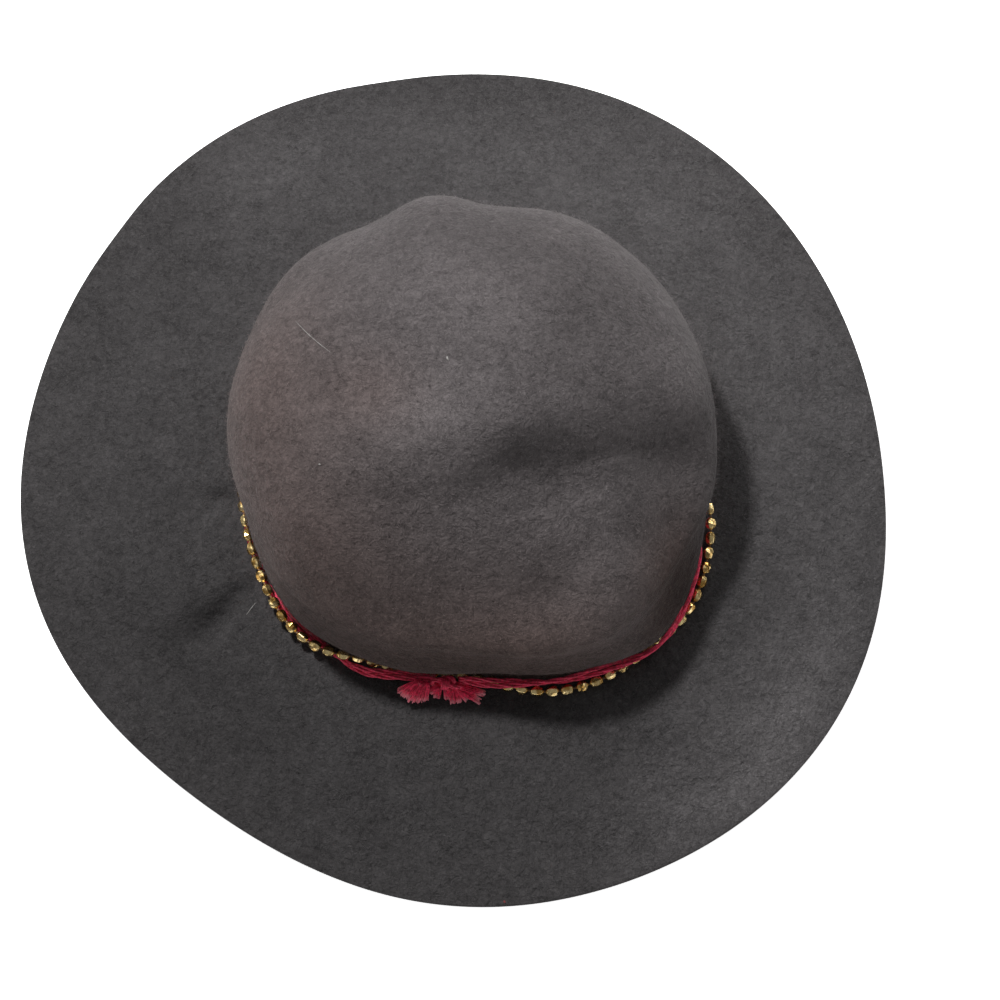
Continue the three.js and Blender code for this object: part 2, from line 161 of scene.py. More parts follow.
KNOT = {"turn": 262.5, "out": 7.6, "up": 7.0, "half_length": 6.5, "radius": 2.6}
KNOT_MOUTH = {"out": 8.7, "up": 6.0}
KNOT_ENDS = table(
    "place root turn out up spread",
    ("left", 260.6, 260.6, 13.2, 1.6, 0.8),
    ("middle left", 262.8, 263.0, 13.4, 1.6, 0.8),
    ("front", 264.2, 265.2, 14.4, 2.0, 1.6),
    ("right, by the cords", 265, 271.6, 10.0, 2.6, 0.9),
    ("right, in front", 264.8, 270.6, 13.0, 1.6, 0.9),
)
TASSEL = {"turn": 256.6, "out": 8.2, "up": 9.5}
TASSEL_FAN = table(
    "place heading reach drop",
    ("first", 194, 9.6, 4.6),
    ("last", 292, 6.2, 7.4),
)

# Painted light and shade: where the wool is painted paler or darker than the rest, in stops, to stand in for
# how the light falls, darker in the creases and on the crown's shaded lower right wall. On the brim share is
# across its width and wide is in degrees. On the crown x and y are from its axis.
BRIM_PAINTED_LIGHT = table(
    "place turn wide share deep stops",
    ("lower right", 315, 24, 0.78, 0.33, 1.05),
    ("right edge", 5, 26, 0.9, 0.35, 0.2),
    ("upper left", 128, 14, 0.7, 0.35, 0.25),
    ("upper left edge", 146, 18, 0.8, 0.4, -0.2),
    ("lower left", 222, 42, 0.7, 0.7, -0.32),
    ("left crease", 209.5, 2.6, 0.34, 0.2, -0.6),
    ("small left crease", 186.5, 2, 0.08, 0.12, -0.4),
    ("back", 75, 34, 0.5, 0.4, 0.22),
    ("right", 15, 30, 0.4, 0.4, 0.28),
    ("back edge", 88, 24, 1.0, 0.2, -0.3),
)
# Painted light and shade on the crown: paler where the light falls full, as above the crease, darker in the
# crease and on the shaded lower right wall
CROWN_PAINTED_LIGHT = table(
    "place x y wide deep stops",
    ("back right", 40, 42, 34, 34, -0.45),
    ("back", 0, 72, 30, 14, -0.25),
    ("left", -80, 25, 28, 40, 0.1),
    ("above the crease", -18, -6, 26, 14, 0.47),
    ("crease", 16, -22, 26, 8, -0.2),
    ("right of the crease", 75, -6, 12, 8, -0.2),
    ("left of the crease", -14, -31, 15, 9, 0.25),
    ("below the crease", 34, -42, 22, 12, 0.38),
    ("front right knob", 47, -58, 14, 12, 0.12),
    ("back of the tip", 2, 36, 28, 16, 0.3),
    ("right", 72, 18, 14, 16, 0.27),
    ("front low right", 34, -80, 24, 10, 0.3),
    ("front edge", -10, -92, 50, 12, -0.15),
    ("front left", -62, -66, 28, 20, -0.3),
    ("right edge", 92, 0, 12, 30, -0.25),
    ("lower right wall", 82, -60, 14, 22, -1.15),
)
# Where the crown's wool is brown, as a share of BROWN_WOOL
CROWN_WARMTH = table(
    "place x y wide deep share",
    ("front edge", 5, -104, 80, 34, 1.2),
    ("front left", -70, -62, 42, 34, 0.6),
    ("left", -85, 5, 34, 55, 0.6),
    ("left of the tip", -38, 2, 18, 16, 0.3),
    ("lower right wall", 80, -60, 15, 24, 1.1),
)

# Camera: how high it looks down, how far it is from the foot of the crown, and where that shows in the frame
VIEW_ELEVATION = 75
VIEW_DISTANCE = 750
FRAME_WIDTH = 1000
FOCAL_PIXELS = 1770
SENSOR = 36
FOOT_IN_FRAME = {"x": 477, "y": 470}

rng = np.random.default_rng(7)


def between(limits, count=None):
    """A random number, or count of them, from the least to the most that limits says."""
    return rng.uniform(limits["least"], limits["most"], count)


def bell(x):
    return np.exp(-x * x)


def turn_between(a, b):
    """The signed difference of two turns, from -180 to 180 degrees."""
    return (np.asarray(a, float) - b + 180) % 360 - 180


def smoothstep(x, low, high):
    t = np.clip((x - low) / (high - low), 0, 1)
    return t * t * (3 - 2 * t)


def lerp(a, b, t):
    return a + (b - a) * t


def spline(rows, share):
    """A point of the uniform spline through the rows' points, at a share of its length from 0 to 1."""
    points = np.asarray(rows, float)
    last = len(points) - 1
    place = np.clip(share, 0, 1) * last
    k = np.minimum(place.astype(int), last - 1)
    w = (place - k)[..., None]
    p0, p1, p2, p3 = (points[np.clip(k + step, 0, last)] for step in (-1, 0, 1, 2))
    v0 = (p2 - p0) / 2
    v1 = (p3 - p1) / 2
    return (2 * p1 - 2 * p2 + v0 + v1) * w**3 + (3 * p2 - 3 * p1 - 2 * v0 - v1) * w**2 + v0 * w + p1


def plan_radius(turn, squareness):
    """The radius of the inside's plan: a softly squared ellipse, pushed out or in at a few places."""
    c = np.abs(np.cos(np.radians(turn))) / (HEAD_LENGTH / 2)
    s = np.abs(np.sin(np.radians(turn))) / (HEAD_WIDTH / 2)
    radius = (c**squareness + s**squareness) ** (-1 / squareness)
    for row in FOOT_PUSHES:
        radius = radius + row["push"] * bell(turn_between(turn, row["turn"]) / row["wide"])
    return radius


def edge_radius(turn):
    reach = BRIM_REACH
    for row in OUTLINE_WAVES:
        reach = reach + row["swing"] * np.cos(np.radians(row["waves"] * (turn - row["turn"])))
    return reach


def lobe_push(turn, rise):
    total = 0
    for row in CROWN_LOBES:
        across = turn_between(turn, row["turn"]) / row["wide"]
        total = total + row["push"] * bell(across) * bell((rise - row["rise"]) / row["tall"])
    return total * smoothstep(rise, FOOT_RISE, LOBE_RISE)


def turned(row, x, y):
    """Places along and across a row's own direction, from the row's place."""
    c = math.cos(math.radians(row["turn"]))
    s = math.sin(math.radians(row["turn"]))
    return c * (x - row["x"]) + s * (y - row["y"]), c * (y - row["y"]) - s * (x - row["x"])


def dent_drop(x, y):
    drop = 0
    for row in TIP_DENTS:
        along, across = turned(row, x, y)
        wide = np.where(across > 0, row["behind"], row["before"])
        drop = drop + row["drop"] * bell(along / row["along"]) * bell(across / wide)
    return drop


def rest_on_floor(height, ease):
    bend = (np.maximum(height, -ease) + ease) ** 2 / (4 * ease)
    return np.where(height >= ease, height, bend)


def within(share, start, end):
    middle = (start + end) / 2
    ease = (end - start) / 2
    return 1 - smoothstep(np.abs(share - middle) / ease, FOLD_CREST, 1)


def brim_height(share, turn, radius):
    height = BREAK_HEIGHT - DROOP * share**DROOP_CURVE
    for row in BRIM_WAVES:
        swing = np.cos(np.radians(row["waves"] * (turn - row["turn"])))
        height = height + row["lift"] * share**WAVE_CURVE * swing
    for row in BRIM_FOLDS:
        across = np.radians(turn_between(turn, row["turn"])) * radius / row["wide"]
        height = height + row["lift"] * bell(across) * within(share, row["from"], row["to"])
    return rest_on_floor(height, REST_EASE)


def inner_point(station, turn):
    """Points of the felt's inside and underside. station runs from 0 at the middle of the tip to 1 at the
    foot of the wall, 2 at the end of the bend at the break, and 3 at the brim's edge."""
    station, turn = np.broadcast_arrays(np.asarray(station, float), np.asarray(turn, float))
    c = np.cos(np.radians(turn))
    s = np.sin(np.radians(turn))
    profile = spline([(row["share"], row["rise"]) for row in CROWN_PROFILE], np.clip(station, 0, 1))
    share, rise = profile[..., 0], profile[..., 1]
    towards_tip = smoothstep(rise, PLAN_RISES["foot"], PLAN_RISES["tip"])
    squareness = lerp(FOOT_SQUARENESS, TIP_SQUARENESS, towards_tip)
    plain = (plan_radius(turn, squareness) + FOOT_OVERHANG) * share
    radius = plain + lobe_push(turn, rise) * smoothstep(share, LOBE_SHARES["none"], LOBE_SHARES["whole"])
    drop = dent_drop(radius * c, radius * s) * smoothstep(rise, DENT_RISES["none"], DENT_RISES["whole"])
    height = BREAK_HEIGHT + rise - drop
    lean = smoothstep(rise, FOOT_RISE, CROWN_PROFILE[0]["rise"]) * (station <= 1)

    opening = plan_radius(turn, FOOT_SQUARENESS)
    bend = np.radians(lerp(-BREAK_LEAN, 90, np.clip(station, 1, 2) - 1))
    on_bend = station > 1
    radius = np.where(on_bend, opening + BREAK_RADIUS * (1 - np.cos(bend)), radius)
    height = np.where(on_bend, BREAK_HEIGHT + BREAK_RADIUS * (1 - np.sin(bend)), height)

    on_brim = station > 2
    brim_share = np.clip(station - 2, 0, 1)
    brim_radius = lerp(opening + BREAK_RADIUS, edge_radius(turn), brim_share)
    radius = np.where(on_brim, brim_radius, radius)
    height = np.where(on_brim, brim_height(brim_share, turn, brim_radius), height)
    x = CROWN_CENTRE["x"] + radius * c + CROWN_LEAN["x"] * lean
    y = CROWN_CENTRE["y"] + radius * s + CROWN_LEAN["y"] * lean
    return np.stack([x, y, height], axis=-1)


def unit(vectors):
    return vectors / np.linalg.norm(vectors, axis=-1, keepdims=True)


def beside(vectors, along):
    """Unit vectors at right angles to along, turned towards the given ones."""
    return unit(vectors - np.sum(vectors * along, axis=-1, keepdims=True) * along)


def around(angle, first, second):
    """Directions turned by each angle from first towards second."""
    return np.cos(angle)[..., None] * first + np.sin(angle)[..., None] * second


def distances_along(path):
    steps = np.linalg.norm(np.diff(path, axis=0), axis=1)
    return np.concatenate([[0], np.cumsum(steps)])


NORMAL_STEPS = {"station": 0.004, "turn": 0.5}
NEAREST_TIP = 0.01  # the tip's own normal is taken here, because all turns meet in its middle


def felt_normal(station, turn):
    step = NORMAL_STEPS["station"]
    aside = NORMAL_STEPS["turn"]
    here = np.maximum(station, NEAREST_TIP)
    down = inner_point(np.minimum(here + step, 3), turn) - inner_point(here - step, turn)
    across = inner_point(here, turn + aside) - inner_point(here, turn - aside)
    return unit(np.cross(down, across))


def outer_point(station, turn):
    """Points of the felt's outside and top, one felt thickness along the inside's normal."""
    return inner_point(station, turn) + FELT * felt_normal(station, turn)


# Places in the band


def stance_at(turn):
    """How far the band has twisted, in stances."""
    start = np.asarray(turn, float) % 360
    stance = BACK_STANCE
    for row in CROSSINGS:
        half = row["span"] / 2
        stance = stance + row["steps"] * smoothstep(start, row["turn"] - half, row["turn"] + half)
    return stance


def beside_crown(turn, out, up):
    """Places beside the crown: out from the felt's outer wall, and up from the top of the brim's root."""
    radius = plan_radius(turn, FOOT_SQUARENESS) + FELT + out
    x = CROWN_CENTRE["x"] + radius * np.cos(np.radians(turn))
    y = CROWN_CENTRE["y"] + radius * np.sin(np.radians(turn))
    return np.stack([x, y, BREAK_HEIGHT + FELT + up + 0 * x], axis=-1)


def outward_at(turn):
    turn = np.radians(turn)
    return np.stack([np.cos(turn), np.sin(turn), 0 * turn], axis=-1)


def band_point(turn, reach, side, lean):
    """Places in the band. reach is measured from the band's middle line towards the beads."""
    stance = stance_at(turn)
    middle = spline([(row["out"], row["up"]) for row in BAND_STANCES], stance % STANCES_ROUND / STANCES_ROUND)
    towards_beads = np.radians(BAND_STANCES[0]["lean"] + 360 / STANCES_ROUND * stance)
    slack = BAND_SLACK["slack"] * bell(turn_between(turn, BAND_SLACK["turn"]) / BAND_SLACK["wide"])
    out = middle[..., 0] + slack + reach * np.cos(towards_beads) + side * np.cos(lean)
    up = middle[..., 1] + reach * np.sin(towards_beads) + side * np.sin(lean)
    return beside_crown(turn, out, up)


def bead_point(turn):
    return band_point(turn, BAND_SPREAD / 2, 0, 0)


def cord_point(turn, side):
    lean = np.radians(90 + CORD_TWISTS * (turn - KNOT["turn"]))
    return band_point(turn, -BAND_SPREAD / 2, side * CORD_OFFSET, lean)


# Meshes from arrays


def new_object(name, data):
    item = bpy.data.objects.new(name, data)
    bpy.context.scene.collection.objects.link(item)
    return item


def mesh_piece(name, points, faces, material, slot, smooth=True, **values):
    """An object from points in millimetres and lists of faces of one size each, riding on the part's body.
    Each of the other values is kept as an attribute of the points."""
    points = np.asarray(points, float).reshape(-1, 3) * MM
    mesh = bpy.data.meshes.new(name)
    mesh.vertices.add(len(points))
    mesh.vertices.foreach_set("co", points.ravel())
    sizes = np.concatenate([np.full(len(block), block.shape[1]) for block in faces])
    corners = np.concatenate([block.ravel() for block in faces])
    mesh.loops.add(len(corners))
    mesh.loops.foreach_set("vertex_index", corners.astype(np.int32))
    mesh.polygons.add(len(sizes))
    mesh.polygons.foreach_set("loop_start", (np.cumsum(sizes) - sizes).astype(np.int32))
    mesh.polygons.foreach_set("use_smooth", np.full(len(sizes), smooth))
    mesh.update(calc_edges=True)
    mesh.validate()
    for key, value in values.items():
        mesh.attributes.new(key, "FLOAT", "POINT").data.foreach_set("value", np.asarray(value, float).ravel())
    mesh.materials.append(material)
    piece = new_object(name, mesh)
    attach(piece, "root")
    return piece


def grid_faces(rows, columns, closed_rows=False):
    """Quads between closed rings of points. closed_rows joins the last ring to the first."""
    row = np.arange(rows if closed_rows else rows - 1)
    column = np.arange(columns)
    a = (row[:, None] * columns + column[None, :]).ravel()
    b = (((row + 1) % rows)[:, None] * columns + column[None, :]).ravel()
    c = (((row + 1) % rows)[:, None] * columns + (column[None, :] + 1) % columns).ravel()
    d = (row[:, None] * columns + (column[None, :] + 1) % columns).ravel()
    return np.stack([a, b, c, d], axis=1)


def fan_faces(centre, ring, flip=False):
    a, b = ring, np.roll(ring, -1)
    if flip:
        a, b = b, a
    return np.stack([np.full(len(ring), centre), a, b], axis=1)


class Parts:
    """Gathers the points and faces of many small closed forms into one mesh."""

    def __init__(self):
        self.points = []
        self.faces = {}
        self.shades = []
        self.count = 0

    def add(self, points, faces, shade=0.0):
        points = np.asarray(points, float).reshape(-1, 3)
        for block in faces:
            self.faces.setdefault(block.shape[1], []).append(block + self.count)
        self.points.append(points)
        self.shades.append(np.broadcast_to(shade, len(points)))
        self.count += len(points)

    def piece(self, name, material, slot, smooth=True):
        faces = [np.concatenate(blocks) for blocks in self.faces.values()]
        shade = np.concatenate(self.shades)
        return mesh_piece(name, np.concatenate(self.points), faces, material, slot, smooth, shade=shade)


def tube(centres, radius, sides, outward, closed=False):
    """Points and faces of a round tube. outward is a direction beside the path, where its sections start."""
    centres = np.asarray(centres, float)
    if closed:
        along = unit(np.roll(centres, -1, axis=0) - np.roll(centres, 1, axis=0))
    else:
        along = unit(np.gradient(centres, axis=0))
    first = beside(outward, along)
    second = np.cross(along, first)
    angle = np.arange(sides) * 2 * math.pi / sides
    radius = np.broadcast_to(radius, len(centres))[:, None, None]
    spokes = around(angle, first[:, None], second[:, None])
    points = (centres[:, None] + radius * spokes).reshape(-1, 3)
    faces = [grid_faces(len(centres), sides, closed)[:, ::-1]]
    if closed:
        return points, faces
    count = len(points)
    points = np.concatenate([points, centres[:1], centres[-1:]])
    faces.append(fan_faces(count, np.arange(sides), flip=True))
    faces.append(fan_faces(count + 1, np.arange(count - sides, count)))
    return points, faces


# Materials


def material_with_nodes(name):
    material = bpy.data.materials.new(name)
    material.use_nodes = True
    return material, material.node_tree, material.node_tree.nodes["Principled BSDF"]


def connect(tree, socket, value):
    """Links a socket to another node's output, or sets it to a number or to a colour without its alpha."""
    if isinstance(value, bpy.types.NodeSocket):
        tree.links.new(value, socket)
    elif isinstance(value, tuple):
        socket.default_value = (*value, 1)
    else:
        socket.default_value = value


def set_inputs(tree, node, **inputs):
    """Connects a node's inputs, each named with _ for a space."""
    for key, value in inputs.items():
        connect(tree, node.inputs[key.replace("_", " ")], value)


def add_node(tree, kind, settings=None, **inputs):
    node = tree.nodes.new(kind)
    for key, value in (settings or {}).items():
        setattr(node, key, value)
    set_inputs(tree, node, **inputs)
    return node


def object_noise(tree, size_mm, detail=2, roughness=0.5, curl=0):
    """Noise with features of about that size, fixed to the object. curl twists them into strands."""
    place = add_node(tree, "ShaderNodeTexCoord").outputs["Object"]
    texture = add_node(tree, "ShaderNodeTexNoise", Vector=place, Scale=1 / (size_mm * MM), Detail=detail)
    set_inputs(tree, texture, Roughness=roughness, Distortion=curl)
    return texture.outputs["Fac"]


def ramp(tree, value, colours, start, end):
    """A colour that goes from deep to bright as value goes from start to end."""
    node = add_node(tree, "ShaderNodeValToRGB", Fac=value)
    stops = ((start, colours["deep"]), (end, colours["bright"]))
    for element, (position, colour) in zip(node.color_ramp.elements, stops):
        element.position = position
        element.color = (*colour, 1)
    return node.outputs["Color"]


# The numbers of a mix node's sockets for colours, because its other sockets have the same names
MIX_SOCKETS = {"factor": 0, "a": 6, "b": 7, "result": 2}


def mix_colour(tree, factor, a, b):
    node = add_node(tree, "ShaderNodeMix", {"data_type": "RGBA"})
    for name, value in (("factor", factor), ("a", a), ("b", b)):
        connect(tree, node.inputs[MIX_SOCKETS[name]], value)
    return node.outputs[MIX_SOCKETS["result"]]


def scale_colour(tree, colour, level):
    node = add_node(tree, "ShaderNodeVectorMath", {"operation": "SCALE"}, Vector=colour, Scale=level)
    return node.outputs["Vector"]


def math_node(tree, operation, a, b):
    node = add_node(tree, "ShaderNodeMath", {"operation": operation})
    connect(tree, node.inputs[0], a)
    connect(tree, node.inputs[1], b)
    return node.outputs["Value"]


def map_range(tree, value, to, start=0, end=1):
    """A number from the least to the most that to says, as value goes from start to end."""
    node = add_node(tree, "ShaderNodeMapRange", Value=value, From_Min=start, From_Max=end)
    set_inputs(tree, node, To_Min=to["least"], To_Max=to["most"])
    return node.outputs["Result"]


def add_bump(tree, height, strength, deep_mm, **below):
    """The normal of a bumpy surface. below may hold the Normal of a layer under it."""
    bump = add_node(tree, "ShaderNodeBump", Height=height, Strength=strength, Distance=deep_mm * MM, **below)
    return bump.outputs["Normal"]


def attribute(tree, name):
    return add_node(tree, "ShaderNodeAttribute", {"attribute_name": name}).outputs["Fac"]


# The wool of the brim, the crown, and the brown front of the crown, and how far single tufts differ from it
BRIM_WOOL = (0.0484, 0.0456, 0.0463)
CROWN_WOOL = (0.0710, 0.0637, 0.0645)
BROWN_WOOL = (0.0800, 0.0566, 0.0516)
MOTTLE = table(
    "size share curl",
    (16, 0.17, 0.4),
    (3.2, 0.33, 0.9),
    (1.15, 0.5, 1.6),
)
MOTTLE_NOISE = {"start": 0.32, "end": 0.68}
MOTTLE_LEVEL = {"least": 0.38, "most": 1.7}
FIBRE_LEVEL = {"least": 0.7, "most": 4.2}
FELT_BUMPS = table(
    "name size curl strength deep",
    ("lumps", 5.0, 0.8, 0.8, 1.0),
    ("pebbles", 2.4, 1.0, 1.0, 1.1),
    ("fuzz", 1.15, 1.6, 0.8, 0.45),
)


def wool_colour_with_painted_light(tree, level):
    """The wool's colour at each place, from the felt's attributes, times its painted light and shade there
    (the tone attribute) and a level.
    """
    wool = mix_colour(tree, attribute(tree, "crown"), BRIM_WOOL, CROWN_WOOL)
    wool = mix_colour(tree, attribute(tree, "warmth"), wool, BROWN_WOOL)
    # the tone attribute is painted light and shade
    return scale_colour(tree, wool, math_node(tree, "MULTIPLY", level, attribute(tree, "tone")))


def mottled_level(tree):
    """A level that differs from tuft to tuft, at three sizes."""
    mottle = 0.0
    for row in MOTTLE:
        layer = object_noise(tree, row["size"], detail=3, roughness=0.6, curl=row["curl"])
        mottle = math_node(tree, "ADD", mottle, math_node(tree, "MULTIPLY", layer, row["share"]))
    return map_range(tree, mottle, MOTTLE_LEVEL, **MOTTLE_NOISE)


def make_felt_material():
    material, tree, shader = material_with_nodes("wool_felt")
    colour = wool_colour_with_painted_light(tree, mottled_level(tree))
    set_inputs(tree, shader, Base_Color=colour, Roughness=0.95, Specular_IOR_Level=0.1)
    set_inputs(tree, shader, Sheen_Weight=0.1, Sheen_Roughness=0.26, Sheen_Tint=(1, 0.96, 0.94))
    below = {}
    for row in FELT_BUMPS:
        height = object_noise(tree, row["size"], detail=3, roughness=0.65, curl=row["curl"])
        below["Normal"] = add_bump(tree, height, row["strength"], row["deep"], **below)
    set_inputs(tree, shader, **below)
    return material


def make_fibre_material():
    """Loose wool fibres of the felt's colour there, with its painted light and shade, from dark to pale by
    each fibre's shade.
    """
    material, tree, shader = material_with_nodes("wool_fibre")
    level = map_range(tree, attribute(tree, "shade"), FIBRE_LEVEL)
    set_inputs(tree, shader, Base_Color=wool_colour_with_painted_light(tree, level), Roughness=0.85, Specular_IOR_Level=0.2)
    return material


GOLD = {"deep": (0.52, 0.30, 0.08), "bright": (1.0, 0.78, 0.38)}
GOLD_ROUGHNESS = {"least": 0.14, "most": 0.36}


def make_gold_material():
    material, tree, shader = material_with_nodes("gold_bead")
    gold = ramp(tree, object_noise(tree, size_mm=3.0), GOLD, start=0.38, end=0.60)
    polish = map_range(tree, object_noise(tree, size_mm=1.2, roughness=0.6), GOLD_ROUGHNESS)
    dints = add_bump(tree, object_noise(tree, size_mm=0.8), strength=0.35, deep_mm=0.1)
    set_inputs(tree, shader, Base_Color=gold, Metallic=1, Roughness=polish, Normal=dints)
    return material


CRIMSON = {"deep": (0.50, 0.003, 0.034), "bright": (1.0, 0.026, 0.12), "pale": (1.0, 0.42, 0.48)}
DARK_BROWN = {"deep": (0.10, 0.05, 0.02), "bright": (0.22, 0.12, 0.05), "pale": (0.3, 0.2, 0.1)}


def make_thread_material(name, colours):
    """Cotton thread that pales where its shade is 1, as at the cut ends."""
    material, tree, shader = material_with_nodes(name)
    tone = ramp(tree, object_noise(tree, size_mm=1.3, roughness=0.6), colours, start=0.36, end=0.60)
    colour = mix_colour(tree, attribute(tree, "shade"), tone, colours["pale"])
    fibres = add_bump(tree, object_noise(tree, size_mm=0.35, roughness=0.6), strength=0.5, deep_mm=0.1)
    set_inputs(tree, shader, Base_Color=colour, Roughness=0.5, Specular_IOR_Level=0.5, Normal=fibres)
    set_inputs(tree, shader, Sheen_Weight=0.08, Sheen_Roughness=0.4, Sheen_Tint=(1.0, 0.55, 0.6))
    return material


# The felt

FELT_SECTORS = 360
CROWN_ROWS = 70
BREAK_ROWS = 12
BRIM_ROWS = 62
UNDERSIDE_SHARE = 0.5  # rows underneath for each row on top
EDGE_ROUND = 0.8  # how far the cut edge swells out
RIM_ANGLES = [30, 65, 90, 115, 150]
EDGE_CALM = 0.1  # the share of the brim, by its edge, where the lumps fade out
CROWN_FADE = {"from": 1.5, "to": 2.1}  # the stations between which the crown's wool becomes the brim's
RELIEF = table(
    "size height",
    (26, 0.35),
    (9, 0.22),
    (4.5, 0.10),
)
# Small bumps and ripples of the felt, from the crown's axis, each along its turn and as high as its lift
RIPPLES = table(
    "place x y turn along across lift",
    ("front right knob", 47, -57, 30, 9, 6, 1.8),
    ("hollow beside the knob", 60, -48, 30, 12, 7, -1.6),
    ("hollow below the knob", 38, -70, 20, 12, 5, -0.8),
    ("right knob", 75, -26, 10, 7, 5, 1.2),
    ("ripple", -32, -34, -8, 14, 2.6, 0.5),
    ("ripple", -26, -42, -4, 16, 2.6, 0.55),
    ("ripple", -8, -37, 12, 12, 2.4, 0.5),
    ("ripple", 16, -34, 18, 12, 2.6, 0.6),
    ("sharp part of the crease", 14, -27, 30, 20, 5, -2.2),
    ("ripple", -28, -33, 5, 5, 1.6, -0.8),
    ("ripple", -20, -26, 18, 6, 2.0, -0.7),
    ("ripple", -8, -21, 25, 5, 2.0, -0.6),
    ("ripple", 7, -37, 28, 5, 1.8, -0.8),
    ("ripple", 40, -21, 14, 9, 2.0, -0.7),
    ("ripple", 61, -15, 8, 9, 2.0, -0.7),
    ("fold below the crease", 40, -36, 12, 16, 4, 0.9),
    ("front bump", 14, -60, 60, 9, 7, 0.9),
    ("front hollow", -14, -66, 20, 16, 8, -0.8),
    ("left crease of the brim", -105.5, -64, 51, 15, 4, -2.6),
    ("its bank", -101, -68, 51, 14, 4, 0.7),
    ("its inner end", -95.5, -54.5, 4, 6, 2, -1.1),
    ("small left crease", -105.5, -14.6, 2, 5, 1.6, -0.9),
    ("its lower part", -112, -20, 48, 8, 3, -1.0),
)


def patches(rows, value, x, y):
    """The sum at each place of the rows' soft patches, each as strong as its value of that name."""
    total = 0
    for row in rows:
        total = total + row[value] * bell((x - row["x"]) / row["wide"]) * bell((y - row["y"]) / row["deep"])
    return total


def wool_shares_and_painted_light(station, turn, points):
    """At each place, the painted light and shade as a factor (tone), the share of brown, and 1 on the crown
    or 0 on the brim.
    """
    x = points[..., 0] - CROWN_CENTRE["x"]
    y = points[..., 1] - CROWN_CENTRE["y"]
    crown = 1 - smoothstep(station, CROWN_FADE["from"], CROWN_FADE["to"])
    share = station - 2
    on_brim = 0
    for row in BRIM_PAINTED_LIGHT:
        along = turn_between(turn, row["turn"]) / row["wide"]
        on_brim = on_brim + row["stops"] * bell(along) * bell((share - row["share"]) / row["deep"])
    # painted light and shade, in stops, on the brim and on the crown
    stops = lerp(on_brim, patches(CROWN_PAINTED_LIGHT, "stops", x, y), crown)
    warmth = np.clip(patches(CROWN_WARMTH, "share", x, y), 0, 1)
    return {"tone": 2**stops, "warmth": warmth * crown, "crown": crown}


def felt_relief(points):
    """Height of the felt's soft lumps at each point."""
    total = np.zeros(len(points))
    for row in RELIEF:
        total += [row["height"] * noise.noise(Vector(p) / row["size"]) for p in points]
    x = points[:, 0] - CROWN_CENTRE["x"]
    y = points[:, 1] - CROWN_CENTRE["y"]
    for row in RIPPLES:
        along, across = turned(row, x, y)
        total += row["lift"] * bell(along / row["along"]) * bell(across / row["across"])
    return total


def make_felt(material):
    turns = np.arange(FELT_SECTORS) * 360 / FELT_SECTORS
    edge = 3 - EDGE_ROUND / (BRIM_REACH - HEAD_LENGTH / 2 - BREAK_RADIUS)

    def stations(density):
        spans = [(0, 1, CROWN_ROWS), (1, 2, BREAK_ROWS), (2, edge, BRIM_ROWS)]
        return np.concatenate([np.linspace(a, b, round(rows * density) + 1)[1:] for a, b, rows in spans])

    top_stations = stations(1)
    under_stations = stations(UNDERSIDE_SHARE)
    top = outer_point(top_stations[:, None], turns[None, :])
    normals = felt_normal(top_stations[:, None], turns[None, :])
    calm = 1 - smoothstep(top_stations, edge - EDGE_CALM, edge)
    heights = felt_relief(top.reshape(-1, 3)).reshape(top.shape[:2]) * calm[:, None]
    top = top + heights[..., None] * normals
    under = inner_point(under_stations[:, None], turns[None, :])[::-1]
    middle = (top[-1] + under[0]) / 2
    half = (top[-1] - under[0]) / 2
    outward = outward_at(turns)
    round_angles = np.radians(RIM_ANGLES)[:, None, None]
    rim = middle + half * np.cos(round_angles) + EDGE_ROUND * outward * np.sin(round_angles)
    rings = np.concatenate([top, rim, under])
    points = np.concatenate([rings.reshape(-1, 3), outer_point(0.0, 0.0)[None], inner_point(0.0, 0.0)[None]])
    count = len(points) - 2
    faces = [
        grid_faces(len(rings), FELT_SECTORS),
        fan_faces(count, np.arange(FELT_SECTORS)),
        fan_faces(count + 1, np.arange(count - FELT_SECTORS, count), flip=True),
    ]
    rim_stations = np.full(len(round_angles), edge)
    all_stations = np.concatenate([top_stations, rim_stations, under_stations[::-1]])
    station_at, turn_at = (a.ravel() for a in np.meshgrid(all_stations, turns, indexing="ij"))
    station_at = np.append(station_at, [0, 0])
    turn_at = np.append(turn_at, [0, 0])
    # the felt's tone attribute carries the painted light and shade
    felt_values_and_painted_light = wool_shares_and_painted_light(station_at, turn_at, points)
    felt = mesh_piece("wool_felt", points, faces, material, "felt", **felt_values_and_painted_light)
    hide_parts("felt_body")


FUZZ = table(
    "name from to fibres",
    ("crown_fuzz", 0.0, 1.6, 30000),
    ("brim_fuzz", 1.6, 2.99, 32000),
)
FIBRE_LENGTH = {"least": 0.9, "most": 2.8}
FIBRE_RADIUS = 0.045
FIBRE_LIFT = {"least": 4, "most": 50}
FIBRE_TRIES = 3  # places tried for each fibre, so that they can be kept in step with the felt's area
FIBRE_SHADES = (1.6, 3.0)  # a beta distribution, so most fibres are dark
SPINDLE_ANGLES = (0, 2.1, 4.2)
SPINDLE_POINTS = len(SPINDLE_ANGLES) + 2


def spindles(starts, ends, radius):
    """Points and triangles of thin closed fibres, widest in the middle."""
    along = unit(ends - starts)
    helper = np.where(np.abs(along[:, 2:3]) < 0.9, [[0.0, 0.0, 1.0]], [[1.0, 0.0, 0.0]])
    first = unit(np.cross(along, helper))
    second = np.cross(along, first)
    middle = (starts + ends) / 2
    ring = [middle + radius * around(angle, first, second) for angle in SPINDLE_ANGLES]
    points = np.stack([starts, *ring, ends], axis=1)
    pattern = np.array([[0, 2, 1], [0, 3, 2], [0, 1, 3], [4, 1, 2], [4, 2, 3], [4, 3, 1]])
    faces = (np.arange(len(starts))[:, None, None] * SPINDLE_POINTS + pattern[None]).reshape(-1, 3)
    return points.reshape(-1, 3), faces


